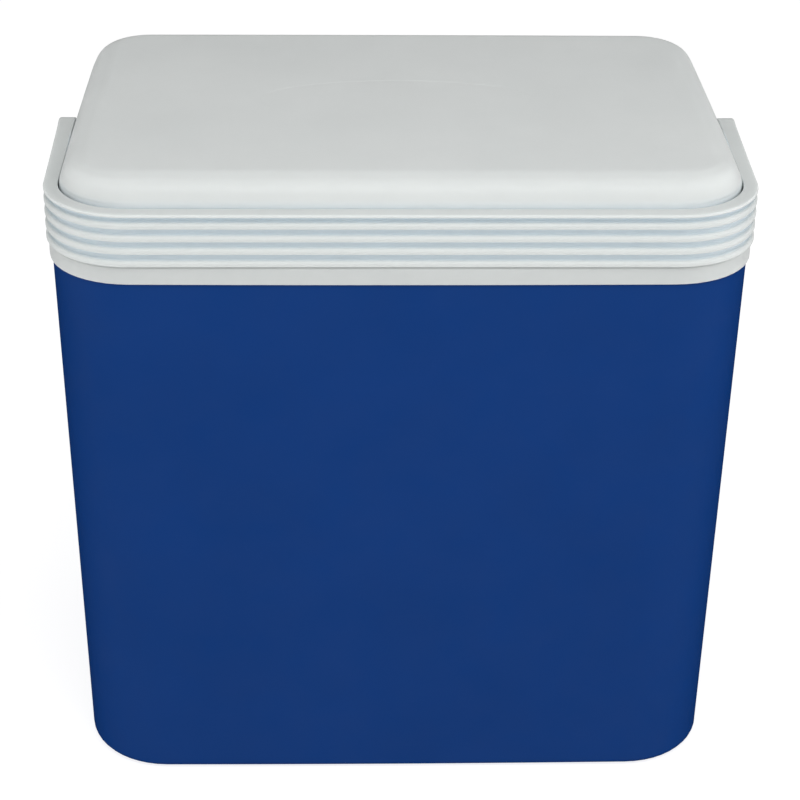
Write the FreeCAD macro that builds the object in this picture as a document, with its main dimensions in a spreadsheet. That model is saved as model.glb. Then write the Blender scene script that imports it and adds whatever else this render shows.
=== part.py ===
import FreeCAD, Part
import math
import os

import Sketcher

# Cooler chest. Millimetres, +Z up, X across the width, the front faces -Y.
# The origin is the centre of the base, on the surface that the chest stands on.

SIZES = {
    # Blue tub: a rounded rectangle at the base, a slightly larger one at the top.
    "base_width": 375.0,
    "base_depth": 262.4,
    "base_corner": 49.0,
    "top_width": 384.2,
    "top_depth": 271.6,
    "top_corner": 46.0,
    "shell_height": 331.0,
    "shell_wall": 2.4,
    "bottom_edge": 6.0,
    "foot_width": 16.0,
    "foot_recess": 3.0,
    # Filling hole in the base and the cap that closes it.
    "fill_hole": 12.0,
    "fill_cap": 16.0,
    "fill_cap_thick": 1.6,
    # White collar ring: skirt, ledge, upright wall, inner lip.
    "collar_width": 387.0,
    "collar_depth": 274.4,
    "collar_corner": 47.5,
    "collar_bottom": 323.5,
    "skirt_edge": 0.9,
    "ledge_edge": 1.6,
    "ledge_height": 334.0,
    "skirt_gap": 0.1,
    "wall_thick": 2.6,
    "rim_height": 357.0,
    "lip_width": 8.5,
    "lip_thick": 2.5,
    # White liner: a rounded rectangle at its floor, a larger one at its mouth.
    "mouth_width": 335.0,
    "mouth_depth": 221.0,
    "mouth_corner": 30.0,
    "floor_width": 325.0,
    "floor_depth": 211.0,
    "floor_corner": 26.0,
    "floor_height": 30.0,
    "floor_edge": 9.0,
    "liner_wall": 2.0,
    "flange_thick": 2.5,
    "flange_gap": 0.1,
    "foam_top": 344.0,
    # Lid. Its outline is also the outside of the collar's upright wall.
    "lid_width": 371.2,
    "lid_depth": 257.6,
    "lid_corner": 41.5,
    "lid_bottom": 357.2,
    "lid_top": 379.3,
    "lid_shoulder": 15.0,
    "lid_wall": 2.4,
    "dish_length": 160.0,
    "dish_breadth": 65.0,
    "dish_forward": 2.2,
    "dish_deep": 0.3,
    "dish_bulge": 10.0,
    "panel_thick": 2.4,
    "foam_gap": 0.5,
    "plug_gap": 2.0,
    "plug_taper": 1.2,
    "plug_deep": 20.0,
    "plug_wall": 2.0,
    "plug_edge": 4.0,
    # Handle: a U in plan with arms that spread towards the pivots.
    "arm_outside": 196.0,
    "arm_outside_front": 193.9,
    "bar_outside": 138.6,
    "bend_outside": 48.0,
    "arm_inside": 186.5,
    "arm_inside_front": 186.1,
    "bar_inside": 129.9,
    "bend_inside": 40.0,
    "handle_bottom": 334.4,
    "handle_tall": 30.1,
    "groove_deep": 3.2,
    "cut_margin": 1.0,
    "groove_bottom": 337.9,
    "groove_tall": 3.7,
    "groove_pitch": 7.2,
    "top_groove_bottom": 359.5,
    "top_groove_tall": 2.8,
    # Pivots, on one axis along X. The eyes stand a little above the arms.
    "pivot_height": 350.25,
    "eye_round": 15.9,
    "pin_round": 3.2,
    "pin_clearance": 0.05,
    "pin_start": 176.0,
    "pin_length": 16.8,
    "head_round": 7.0,
    "head_thick": 2.2,
    "head_edge": 0.9,
    "recess_round": 7.6,
    "recess_floor": 192.6,
    "boss_round": 6.5,
    "boss_face": 186.2,
    "inner_boss_round": 4.2,
    "inner_boss_start": 174.0,
}

PATTERNED_GROOVES = 3
SIDES = (1, -1)
NEAR = 0.01

doc = FreeCAD.newDocument("CoolerChest")
sheet = doc.addObject("Spreadsheet::Sheet", "Sizes")
for row, (alias, value) in enumerate(SIZES.items(), start=1):
    sheet.set(f"A{row}", alias)
    sheet.set(f"B{row}", str(value))
    sheet.setAlias(f"B{row}", alias)
doc.recompute()


def cell(alias):
    return f"Sizes.{alias}"


# ---------------------------------------------------------------- sketches


def new_body(name):
    body = doc.addObject("PartDesign::Body", name)
    body.Label = name
    return body


def plane_of(body, role):
    for feature in body.Origin.OriginFeatures:
        if feature.Role == role:
            return feature
    raise ValueError(role)


def new_sketch(body, name, role, offset):
    """An empty sketch on one of the body's origin planes, moved along its normal by an expression."""
    sketch = body.newObject("Sketcher::SketchObject", name)
    sketch.AttachmentSupport = (plane_of(body, role), [""])
    sketch.MapMode = "FlatFace"
    sketch.setExpression("AttachmentOffset.Base.z", offset)
    return sketch


def drive(sketch, constraint, expression):
    """Adds one dimension to a sketch and binds it to the sheet."""
    index = sketch.addConstraint(constraint)
    sketch.setExpression(f"Constraints[{index}]", expression)


def pulled_in(aliases):
    """The total of some of the sheet's sizes, as an expression and as a number. A name with a
    minus sign is taken away."""
    text = ""
    total = 0.0
    for alias in aliases:
        sign = "-" if alias.startswith("-") else "+"
        name = alias.lstrip("-")
        text += f" {sign} {cell(name)}"
        total += -SIZES[name] if sign == "-" else SIZES[name]
    return (text.strip(" +") or "0"), total


def line_between(sketch, start, end):
    a = FreeCAD.Vector(start[0], start[1], 0)
    b = FreeCAD.Vector(end[0], end[1], 0)
    sketch.addGeometry(Part.LineSegment(a, b), False)


def arc_about(sketch, centre, radius, start, end):
    circle = Part.Circle(FreeCAD.Vector(centre[0], centre[1], 0), FreeCAD.Vector(0, 0, 1), radius)
    sketch.addGeometry(Part.ArcOfCircle(circle, start, end), False)


def rounded_rectangle(body, name, outline, height, inset=()):
    """A rounded rectangle about the Z axis: OUTLINE_width, _depth and _corner of the sheet, pulled
    in all round by the sizes named in `inset`."""
    less, less_value = pulled_in(inset)
    half_x = SIZES[outline + "_width"] / 2 - less_value
    half_y = SIZES[outline + "_depth"] / 2 - less_value
    radius = SIZES[outline + "_corner"] - less_value
    in_x = half_x - radius
    in_y = half_y - radius
    sketch = new_sketch(body, name, "XY_Plane", height)
    corners = ((in_x, in_y), (-in_x, in_y), (-in_x, -in_y), (in_x, -in_y))
    for quarter, corner in enumerate(corners):
        start = quarter * math.pi / 2
        arc_about(sketch, corner, radius, start, start + math.pi / 2)
    line_between(sketch, (in_x, half_y), (-in_x, half_y))
    line_between(sketch, (-half_x, in_y), (-half_x, -in_y))
    line_between(sketch, (-in_x, -half_y), (in_x, -half_y))
    line_between(sketch, (half_x, -in_y), (half_x, in_y))
    back, left, front, right = 4, 5, 6, 7
    for arc, side in enumerate((back, left, front, right)):
        sketch.addConstraint(Sketcher.Constraint("Tangent", arc, 2, side, 1))
        sketch.addConstraint(Sketcher.Constraint("Tangent", side, 2, (arc + 1) % 4, 1))
    for arc in (1, 2, 3):
        sketch.addConstraint(Sketcher.Constraint("Equal", 0, arc))
    sketch.addConstraint(Sketcher.Constraint("Horizontal", back))
    sketch.addConstraint(Sketcher.Constraint("Vertical", left))
    sketch.addConstraint(Sketcher.Constraint("Symmetric", 0, 3, 2, 3, -1, 1))
    width = Sketcher.Constraint("DistanceX", left, 1, right, 1, 2 * half_x)
    depth = Sketcher.Constraint("DistanceY", front, 1, back, 1, 2 * half_y)
    drive(sketch, width, f"{cell(outline + '_width')} - 2 * ({less})")
    drive(sketch, depth, f"{cell(outline + '_depth')} - 2 * ({less})")
    drive(
        sketch,
        Sketcher.Constraint("Radius", 0, radius),
        f"{cell(outline + '_corner')} - ({less})",
    )
    return sketch


def circle(body, name, role, offset, radius, height=""):
    """A circle on the Z axis, or for a sketch that faces along X, `height` above the origin."""
    sketch = new_sketch(body, name, role, offset)
    centre_y = SIZES[height] if height else 0.0
    arc_round = Part.Circle(FreeCAD.Vector(0, centre_y, 0), FreeCAD.Vector(0, 0, 1), SIZES[radius])
    sketch.addGeometry(arc_round, False)
    drive(sketch, Sketcher.Constraint("Radius", 0, SIZES[radius]), cell(radius))
    if height:
        sketch.addConstraint(Sketcher.Constraint("PointOnObject", 0, 3, -2))
        up = Sketcher.Constraint("DistanceY", -1, 1, 0, 3, centre_y)
        drive(sketch, up, cell(height))
    else:
        sketch.addConstraint(Sketcher.Constraint("Coincident", 0, 3, -1, 1))
    return sketch


def add_u_line(sketch, side, inset):
    """The outside or inside of the handle in plan: arm, bend, bar, bend, arm. The arms spread
    from the bends to the pivot axis. Returns the indices of the right and left arm lines."""
    less, less_value = pulled_in(inset)
    arm = SIZES["arm_" + side] - less_value
    arm_front = SIZES["arm_" + side + "_front"] - less_value
    bar = SIZES["bar_" + side] - less_value
    bend = SIZES["bend_" + side] - less_value
    lean = math.atan((arm - arm_front) / (bar - bend))
    centre_x = arm_front - bend * math.cos(lean)
    centre_y = bend - bar
    meet_y = centre_y - bend * math.sin(lean)
    right, right_bend, front, left_bend, left = range(
        sketch.GeometryCount, sketch.GeometryCount + 5
    )
    line_between(sketch, (arm, 0), (arm_front, meet_y))
    arc_about(sketch, (centre_x, centre_y), bend, -math.pi / 2, -lean)
    line_between(sketch, (centre_x, -bar), (-centre_x, -bar))
    arc_about(sketch, (-centre_x, centre_y), bend, math.pi + lean, 3 * math.pi / 2)
    line_between(sketch, (-arm_front, meet_y), (-arm, 0))
    for rule in (
        ("Tangent", right, 2, right_bend, 2),
        ("Tangent", right_bend, 1, front, 1),
        ("Tangent", front, 2, left_bend, 2),
        ("Tangent", left_bend, 1, left, 1),
        ("Equal", right_bend, left_bend),
        ("PointOnObject", right, 1, -1),
        ("Symmetric", right, 1, left, 2, -2),
        ("Symmetric", right, 2, left, 1, -2),
    ):
        sketch.addConstraint(Sketcher.Constraint(*rule))
    reach = Sketcher.Constraint("DistanceX", -1, 1, right, 1, arm)
    reach_front = Sketcher.Constraint("DistanceX", -1, 1, right, 2, arm_front)
    deep = Sketcher.Constraint("DistanceY", front, 1, -1, 1, bar)
    drive(sketch, reach, f"{cell('arm_' + side)} - ({less})")
    drive(sketch, reach_front, f"{cell('arm_' + side + '_front')} - ({less})")
    drive(sketch, deep, f"{cell('bar_' + side)} - ({less})")
    radius = Sketcher.Constraint("Radius", right_bend, bend)
    drive(sketch, radius, f"{cell('bend_' + side)} - ({less})")
    return right, left


def u_ring(body, name, height, outer, inner):
    """The closed plan between two U lines, each (side, inset), ending on the pivot axis."""
    sketch = new_sketch(body, name, "XY_Plane", height)
    ends = []
    for side, inset in (outer, inner):
        right, left = add_u_line(sketch, side, inset)
        arm = SIZES["arm_" + side] - pulled_in(inset)[1]
        ends.append((right, left, arm))
    (outer_right, outer_left, outer_arm), (inner_right, inner_left, inner_arm) = ends
    right_end = sketch.GeometryCount
    left_end = right_end + 1
    line_between(sketch, (inner_arm, 0), (outer_arm, 0))
    line_between(sketch, (-outer_arm, 0), (-inner_arm, 0))
    for rule in (
        ("Coincident", right_end, 1, inner_right, 1),
        ("Coincident", right_end, 2, outer_right, 1),
        ("Coincident", left_end, 1, outer_left, 2),
        ("Coincident", left_end, 2, inner_left, 2),
    ):
        sketch.addConstraint(Sketcher.Constraint(*rule))
    return sketch


# ---------------------------------------------------------------- features


def volume(body):
    doc.recompute()
    return body.Shape.Volume


def pad(body, name, sketch, length, down=False):
    feature = body.newObject("PartDesign::Pad", name)
    feature.Profile = sketch
    feature.setExpression("Length", length)
    feature.Reversed = down
    return feature


def pocket(body, name, sketch, length, up=False):
    """Cuts a sketch's plan out of the body, downwards, or upwards with `up`."""
    before = volume(body)
    feature = body.newObject("PartDesign::Pocket", name)
    feature.Profile = sketch
    feature.setExpression("Length", length)
    feature.Reversed = up
    if volume(body) >= before:
        raise RuntimeError(f"{name} cuts nothing")
    return feature


def loft(body, name, sketches, cut=False):
    """A straight-sided loft through two sketches, added to the body or cut out of it."""
    before = volume(body) if cut else 0.0
    kind = "PartDesign::SubtractiveLoft" if cut else "PartDesign::AdditiveLoft"
    feature = body.newObject(kind, name)
    feature.Profile = sketches[0]
    feature.Sections = list(sketches[1:])
    feature.Ruled = True
    if cut and volume(body) >= before:
        raise RuntimeError(f"{name} cuts nothing")
    return feature


def edges_at(body, height):
    """The names of the body's edges that lie wholly at one height."""
    doc.recompute()
    names = []
    for index, edge in enumerate(body.Shape.Edges, start=1):
        box = edge.BoundBox
        if abs(box.ZMin - height) < NEAR and abs(box.ZMax - height) < NEAR:
            names.append(f"Edge{index}")
    return names


def fillet(body, name, edges, radius):
    base = body.Tip
    feature = body.newObject("PartDesign::Fillet", name)
    feature.Base = (base, edges)
    feature.setExpression("Radius", radius)
    return feature


# ---------------------------------------------------------------- box


def make_outer_shell():
    """Blue tub with tapered sides, a rounded bottom edge and a recessed base."""
    body = new_body("outer_shell")
    base = rounded_rectangle(body, "shell_base", "base", "0")
    top = rounded_rectangle(body, "shell_top", "top", cell("shell_height"))
    loft(body, "shell_block", (base, top))
    floor = f"{cell('foot_recess')} + {cell('shell_wall')}"
    inner_base = rounded_rectangle(body, "shell_inner_base", "base", floor, ("shell_wall",))
    inner_top = rounded_rectangle(
        body, "shell_inner_top", "top", cell("shell_height"), ("shell_wall",)
    )
    loft(body, "shell_inside", (inner_base, inner_top), cut=True)
    fillet(body, "shell_bottom_edge", edges_at(body, 0.0), cell("bottom_edge"))
    foot = rounded_rectangle(body, "foot_inside", "base", "0", ("foot_width",))
    pocket(body, "foot_recess", foot, cell("foot_recess"), up=True)
    hole = circle(body, "fill_hole_plan", "XY_Plane", "0", "fill_hole")
    pocket(body, "fill_hole", hole, floor, up=True)
    return body


def make_base_fill_plug():
    """Cap that closes the filling hole from below, inside the recess of the base."""
    body = new_body("base_fill_plug")
    cap_plan = circle(body, "cap_plan", "XY_Plane", cell("foot_recess"), "fill_cap")
    pad(body, "cap", cap_plan, cell("fill_cap_thick"), down=True)
    plug_plan = circle(body, "plug_plan", "XY_Plane", cell("foot_recess"), "fill_hole")
    pad(body, "plug", plug_plan, cell("shell_wall"))
    return body


def liner_outside(body, cut=False):
    """The outer faces of the liner's tub, from under its floor to its mouth."""
    low = f"{cell('floor_height')} - {cell('liner_wall')}"
    floor = rounded_rectangle(body, "liner_floor_outside", "floor", low, ("-liner_wall",))
    mouth = rounded_rectangle(
        body, "liner_mouth_outside", "mouth", cell("rim_height"), ("-liner_wall",)
    )
    return loft(body, "liner_outside", (floor, mouth), cut)


def make_body_insulation():
    """Rigid foam that fills the space between the tub and the liner."""
    body = new_body("body_insulation")
    floor = f"{cell('foot_recess')} + {cell('shell_wall')}"
    low = rounded_rectangle(body, "foam_base", "base", floor, ("shell_wall",))
    high = rounded_rectangle(body, "foam_shoulder", "top", cell("shell_height"), ("shell_wall",))
    loft(body, "foam_block", (low, high))
    neck = rounded_rectangle(body, "foam_neck", "lid", cell("shell_height"), ("wall_thick",))
    pad(body, "foam_neck_block", neck, f"{cell('foam_top')} - {cell('shell_height')}")
    liner_outside(body, cut=True)
    return body


def make_inner_liner():
    """White tub with a flange round its mouth that lies on the collar's lip."""
    body = new_body("inner_liner")
    liner_outside(body)
    under = f"{cell('rim_height')} - {cell('flange_thick')}"
    plan = rounded_rectangle(body, "flange_plan", "lid", under, ("wall_thick", "flange_gap"))
    pad(body, "flange", plan, cell("flange_thick"))
    floor = rounded_rectangle(body, "cavity_floor", "floor", cell("floor_height"))
    mouth = rounded_rectangle(body, "cavity_mouth", "mouth", cell("rim_height"))
    loft(body, "cavity", (floor, mouth), cut=True)
    fillet(body, "floor_edge", edges_at(body, SIZES["floor_height"]), cell("floor_edge"))
    return body


def pivot_disc(body, name, side, start, end, radius):
    """A disc about the pivot axis, from `start` to `end` out from the middle, on one side."""
    plan = circle(body, name + "_plan", "YZ_Plane", f"{side} * ({start})", radius, "pivot_height")
    return pad(body, name, plan, f"({end}) - ({start})", down=side < 0)


def pivot_hole(body, name, side, start, end, radius):
    """The same disc as a hole."""
    plan = circle(body, name + "_plan", "YZ_Plane", f"{side} * ({start})", radius, "pivot_height")
    return pocket(body, name, plan, f"({end}) - ({start})", up=side > 0)


def make_rim_collar():
    """White ring: a skirt over the tub's top edge, the ledge under the handle, the upright wall
    under the lid, an inner lip for the liner's flange, and a boss on each side for a pivot pin."""
    body = new_body("rim_collar")
    skirt = rounded_rectangle(body, "skirt_plan", "collar", cell("collar_bottom"))
    pad(body, "skirt_block", skirt, f"{cell('ledge_height')} - {cell('collar_bottom')}")
    fillet(body, "skirt_edge", edges_at(body, SIZES["collar_bottom"]), cell("skirt_edge"))
    fillet(body, "ledge_edge", edges_at(body, SIZES["ledge_height"]), cell("ledge_edge"))
    wall = rounded_rectangle(body, "wall_plan", "lid", cell("ledge_height"))
    pad(body, "wall_block", wall, f"{cell('rim_height')} - {cell('ledge_height')}")
    for side in SIDES:
        label = "right" if side > 0 else "left"
        inside = f"{cell('lid_width')} / 2 - {cell('wall_thick')} / 2"
        pivot_disc(body, f"{label}_boss", side, inside, cell("boss_face"), "boss_round")
    seat = rounded_rectangle(body, "seat_plan", "lid", cell("rim_height"), ("wall_thick",))
    pocket(body, "flange_seat", seat, cell("flange_thick"))
    lip = rounded_rectangle(body, "lip_plan", "mouth", cell("rim_height"), ("-lip_width",))
    pocket(body, "lip_opening", lip, f"{cell('rim_height')} - {cell('collar_bottom')}")
    skirt_inside = rounded_rectangle(
        body, "skirt_inside_plan", "top", cell("collar_bottom"), ("-skirt_gap",)
    )
    skirt_deep = f"{cell('shell_height')} - {cell('collar_bottom')}"
    pocket(body, "skirt_inside", skirt_inside, skirt_deep, up=True)
    wall_inside = rounded_rectangle(
        body, "wall_inside_plan", "lid", cell("shell_height"), ("wall_thick",)
    )
    lip_under = f"{cell('rim_height')} - {cell('flange_thick')} - {cell('lip_thick')}"
    wall_deep = f"{lip_under} - {cell('shell_height')}"
    pocket(body, "wall_inside", wall_inside, wall_deep, up=True)
    for side in SIDES:
        label = "right" if side > 0 else "left"
        start = cell("inner_boss_start")
        wall_face = f"{cell('lid_width')} / 2 - {cell('wall_thick')} / 2"
        pivot_disc(body, f"{label}_socket", side, start, wall_face, "inner_boss_round")
        far = f"{cell('boss_face')} + {cell('cut_margin')}"
        pivot_hole(body, f"{label}_bore", side, cell("pin_start"), far, "pin_round")
    return body


def make_pivot_pin(name, side):
    """Headed pin. It is drawn from its inner end along X, then placed on its side of the chest."""
    body = new_body(name)
    shaft = circle(body, name + "_shaft_plan", "YZ_Plane", "0", "pin_round")
    pad(body, name + "_shaft", shaft, cell("pin_length"))
    head = circle(body, name + "_head_plan", "YZ_Plane", cell("pin_length"), "head_round")
    pad(body, name + "_head", head, cell("head_thick"))
    doc.recompute()
    outer = SIZES["pin_length"] + SIZES["head_thick"]
    rim = [
        f"Edge{index}"
        for index, edge in enumerate(body.Shape.Edges, start=1)
        if abs(edge.BoundBox.XMin - outer) < NEAR
    ]
    fillet(body, name + "_head_edge", rim, cell("head_edge"))
    body.Placement.Rotation = FreeCAD.Rotation(FreeCAD.Vector(0, 0, 1), 0 if side > 0 else 180)
    body.setExpression("Placement.Base.x", f"{side} * {cell('pin_start')}")
    body.setExpression("Placement.Base.z", cell("pivot_height"))
    return body


# ---------------------------------------------------------------- handle


def make_handle():
    """One-piece bail: a comb section of five fins, bent to a U, with an eye on each arm's end."""
    body = new_body("handle")
    outside = ("outside", ())
    inside = ("inside", ())
    plan = u_ring(body, "handle_plan", cell("handle_bottom"), outside, inside)
    pad(body, "handle_block", plan, cell("handle_tall"))
    beyond = ("outside", ("-cut_margin",))
    web = ("outside", ("groove_deep",))
    groove_plan = u_ring(body, "groove_plan", cell("groove_bottom"), beyond, web)
    groove = pocket(body, "groove", groove_plan, cell("groove_tall"), up=True)
    before = volume(body)
    pattern = body.newObject("PartDesign::LinearPattern", "groove_rows")
    pattern.Originals = [groove]
    pattern.Direction = (plane_of(body, "Z_Axis"), [""])
    pattern.Occurrences = PATTERNED_GROOVES
    rows = PATTERNED_GROOVES - 1
    pattern.setExpression("Length", f"{rows} * {cell('groove_pitch')}")
    body.Tip = pattern
    if volume(body) >= before:
        raise RuntimeError("groove_rows cuts nothing")
    top_plan = u_ring(body, "top_groove_plan", cell("top_groove_bottom"), beyond, web)
    pocket(body, "top_groove", top_plan, cell("top_groove_tall"), up=True)
    for side in SIDES:
        label = "right" if side > 0 else "left"
        outer = cell("arm_outside")
        pivot_disc(body, f"{label}_eye", side, cell("arm_inside"), outer, "eye_round")
        beyond_face = f"{outer} + {cell('cut_margin')}"
        floor = cell("recess_floor")
        pivot_hole(body, f"{label}_recess", side, floor, beyond_face, "recess_round")
        plan = circle(
            body,
            f"{label}_eye_hole_plan",
            "YZ_Plane",
            f"{side} * ({cell('arm_inside')} - {cell('cut_margin')})",
            "pin_round",
            "pivot_height",
        )
        clear = f"{cell('pin_round')} + {cell('pin_clearance')}"
        plan.setExpression("Constraints[0]", clear)
        through = f"{beyond_face} - {cell('arm_inside')} + {cell('cut_margin')}"
        pocket(body, f"{label}_eye_hole", plan, through, up=side > 0)
    return body


# ---------------------------------------------------------------- lid


def domed_block(body, bottom, inset=()):
    """A block on the lid's outline with a rounded shoulder: the lid, or what is inside it."""
    label = body.Name
    less, less_value = pulled_in(inset)
    plan = rounded_rectangle(body, label + "_plan", "lid", bottom, inset)
    pad(body, label + "_block", plan, f"{cell('lid_top')} - ({less}) - ({bottom})")
    top_edge = edges_at(body, SIZES["lid_top"] - less_value)
    fillet(body, label + "_shoulder", top_edge, f"{cell('lid_shoulder')} - ({less})")
    return body


def make_lid_cover():
    """Domed cover, open underneath, with a shallow oval dish in the middle of its top."""
    bottom = cell("lid_bottom")
    block = domed_block(new_body("cover_block"), bottom)
    core = domed_block(new_body("cover_core"), bottom, ("lid_wall",))
    hollow = doc.addObject("Part::Cut", "cover_hollow")
    hollow.Base = block
    hollow.Tool = core
    dish = doc.addObject("Part::Ellipsoid", "dish_tool")
    # The dish is the cap of an ellipsoid: this is how much wider the whole ellipsoid is.
    bulge = cell("dish_bulge")
    spread = f"sqrt(1 - (1 - {cell('dish_deep')} / {bulge}) ^ 2)"
    dish.setExpression("Radius1", bulge)
    dish.setExpression("Radius2", f"{cell('dish_length')} / 2 / {spread}")
    dish.setExpression("Radius3", f"{cell('dish_breadth')} / 2 / {spread}")
    dish.setExpression("Placement.Base.y", f"-{cell('dish_forward')}")
    dish.setExpression("Placement.Base.z", f"{cell('lid_top')} + {bulge} - {cell('dish_deep')}")
    cover = doc.addObject("Part::Cut", "lid_cover")
    cover.Label = "lid_cover"
    cover.Base = hollow
    cover.Tool = dish
    return cover


def plug_loft(body, wall, cut=False):
    """The lid's plug, tapering down into the liner's mouth. `wall` pulls its faces in."""
    label = "plug_inside" if cut else "plug_outside"
    low = f"{cell('lid_bottom')} - {cell('plug_deep')}"
    high = cell("lid_bottom")
    if wall:
        low += f" + {cell('plug_wall')}"
        high += f" + {cell('panel_thick')}"
    narrow = ("plug_gap", "plug_taper") + wall
    bottom = rounded_rectangle(body, label + "_bottom", "mouth", low, narrow)
    top = rounded_rectangle(body, label + "_top", "mouth", high, ("plug_gap",) + wall)
    return loft(body, label, (bottom, top), cut)


def make_lid_inner_panel():
    """Plate across the underside of the lid, with a hollow plug hanging from it."""
    body = new_body("lid_inner_panel")
    plug_loft(body, ())
    plate = rounded_rectangle(body, "plate_plan", "lid", cell("lid_bottom"), ("lid_wall",))
    pad(body, "plate", plate, cell("panel_thick"))
    plug_bottom = SIZES["lid_bottom"] - SIZES["plug_deep"]
    fillet(body, "plug_edge", edges_at(body, plug_bottom), cell("plug_edge"))
    plug_loft(body, ("plug_wall",), cut=True)
    return body


def make_lid_insulation():
    """Foam that fills the cover above the panel and the plug below it."""
    body = new_body("lid_insulation")
    above = f"{cell('lid_bottom')} + {cell('panel_thick')}"
    plug_loft(body, ("plug_wall",))
    domed_block(body, above, ("lid_wall", "foam_gap"))
    return body


# ---------------------------------------------------------------- build, check and write


def check_document():
    doc.recompute()
    for item in doc.Objects:
        if "Invalid" in item.State or "Error" in item.State:
            raise RuntimeError(f"{item.Name}: {item.State}")


def write_part(item):
    shape = item.Shape
    if shape.isNull() or not shape.isValid():
        raise RuntimeError(f"{item.Label} has no valid shape")
    print(f"{item.Label}: {len(shape.Solids)} solid, {shape.Volume / 1000:.1f} cm3")
    shape.exportStep(os.path.join("parts", item.Label + ".step"))


pieces = [
    make_outer_shell(),
    make_base_fill_plug(),
    make_body_insulation(),
    make_inner_liner(),
    make_rim_collar(),
    make_pivot_pin("right_pivot_pin", 1),
    make_pivot_pin("left_pivot_pin", -1),
    make_handle(),
    make_lid_cover(),
    make_lid_inner_panel(),
    make_lid_insulation(),
]
check_document()
os.makedirs("parts", exist_ok=True)
for piece in pieces:
    write_part(piece)
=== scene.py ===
import math
from dataclasses import dataclass

import bmesh
import bpy
import numpy as np
from mathutils import Matrix, Quaternion, Vector


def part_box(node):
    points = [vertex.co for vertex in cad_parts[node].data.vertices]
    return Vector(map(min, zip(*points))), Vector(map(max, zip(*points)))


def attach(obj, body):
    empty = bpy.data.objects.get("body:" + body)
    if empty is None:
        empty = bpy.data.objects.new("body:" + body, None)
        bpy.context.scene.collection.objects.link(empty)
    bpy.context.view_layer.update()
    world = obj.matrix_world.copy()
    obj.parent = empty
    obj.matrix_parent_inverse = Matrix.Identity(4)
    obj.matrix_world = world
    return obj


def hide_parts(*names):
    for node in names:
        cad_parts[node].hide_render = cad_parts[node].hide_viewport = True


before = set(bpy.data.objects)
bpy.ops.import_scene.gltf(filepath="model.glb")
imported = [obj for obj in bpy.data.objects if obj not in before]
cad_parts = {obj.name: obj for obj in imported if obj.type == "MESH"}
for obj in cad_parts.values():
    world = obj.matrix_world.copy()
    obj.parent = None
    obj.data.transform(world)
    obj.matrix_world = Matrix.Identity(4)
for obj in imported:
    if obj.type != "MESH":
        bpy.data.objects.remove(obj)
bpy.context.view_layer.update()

# Cooler chest. Millimetres in the shared frame, until finish_piece turns a mesh into metres.
# +Z is up and the front faces -Y.
MM = 0.001


def box_mm(node):
    """The lowest and highest corner of a CAD node, in millimetres."""
    low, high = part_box(node)
    return np.array(low) / MM, np.array(high) / MM


# ---------------------------------------------------------------- plans and profiles

LEAST_CORNER = 1.0
# The shares of a side that one round, and one support point beyond it, may take.
MOST_REACH = 0.48
MOST_SUPPORT = 0.45
# A support point is made where the rest of the side is longer than this many times its distance.
SUPPORT_ROOM = 2.5


@dataclass
class Plan:
    """A rounded rectangle about the Z axis. Its sides swell by `bow` towards their middles."""

    half_x: float
    half_y: float
    corner: float
    bow: float = 0.0

    def pulled_in(self, inset):
        """The same plan made smaller. Its corners stay round, so a deep inset doesn't fold over."""
        corner = max(self.corner - inset, LEAST_CORNER)
        return Plan(self.half_x - inset, self.half_y - inset, corner, self.bow)

    def quarter(self, side_steps=9, arc_steps=13):
        """Points from the middle of the +X side round the corner to the middle of the +Y side."""
        lean_x = math.atan2(2 * self.bow, self.half_y - self.corner)
        lean_y = math.atan2(2 * self.bow, self.half_x - self.corner)
        centre_x = self.half_x - self.bow - self.corner * math.cos(lean_x)
        centre_y = self.half_y - self.bow - self.corner * math.cos(lean_y)
        end_y = centre_y + self.corner * math.sin(lean_x)
        end_x = centre_x + self.corner * math.sin(lean_y)
        points = []
        for step in range(side_steps):
            along = step / side_steps
            points.append((self.half_x - self.bow * along**2, end_y * along))
        for angle in np.linspace(lean_x, math.pi / 2 - lean_y, arc_steps):
            across = centre_x + self.corner * math.cos(angle)
            points.append((across, centre_y + self.corner * math.sin(angle)))
        for step in range(side_steps - 1, -1, -1):
            along = step / side_steps
            points.append((end_x * along, self.half_y - self.bow * along**2))
        return np.array(points)

    def points(self):
        """The whole outline, anticlockwise from the middle of the +X side."""
        first = self.quarter()
        second = first[-2::-1] * (-1, 1)
        upper = np.vstack([first, second])
        return np.vstack([upper, upper[-2:0:-1] * (1, -1)])


def mix_plans(a, b, share):
    """The plan `share` of the way from a to b."""

    def part(one, other):
        return one + (other - one) * share

    return Plan(
        part(a.half_x, b.half_x),
        part(a.half_y, b.half_y),
        part(a.corner, b.corner),
        part(a.bow, b.bow),
    )


def oval(half_x, half_y, centre=(0.0, 0.0)):
    """An ellipse with as many points as a plan has, in the same order."""
    around = Plan(1.0, 1.0, 0.8).points()
    turn = np.arctan2(around[:, 1], around[:, 0])
    return np.column_stack(
        [centre[0] + half_x * np.cos(turn), centre[1] + half_y * np.sin(turn)]
    )


def ring(outline, height):
    """An outline or a plan as points in space at one height."""
    flat = outline.points() if isinstance(outline, Plan) else outline
    return np.column_stack([flat, np.full(len(flat), height)])


def reach_of_corner(corners, index, closed):
    """How far the round at a corner reaches along the two sides that meet there."""
    count = len(corners)
    radius = corners[index][2]
    if radius <= 0 or (not closed and index in (0, count - 1)):
        return 0.0
    point = np.array(corners[index][:2], float)
    back = np.array(corners[index - 1][:2], float) - point
    ahead = np.array(corners[(index + 1) % count][:2], float) - point
    room_back, room_ahead = np.linalg.norm(back), np.linalg.norm(ahead)
    opening = math.acos(float(np.clip(back @ ahead / room_back / room_ahead, -1, 1)))
    return min(radius / math.tan(opening / 2), MOST_REACH * room_back, MOST_REACH * room_ahead)


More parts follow.
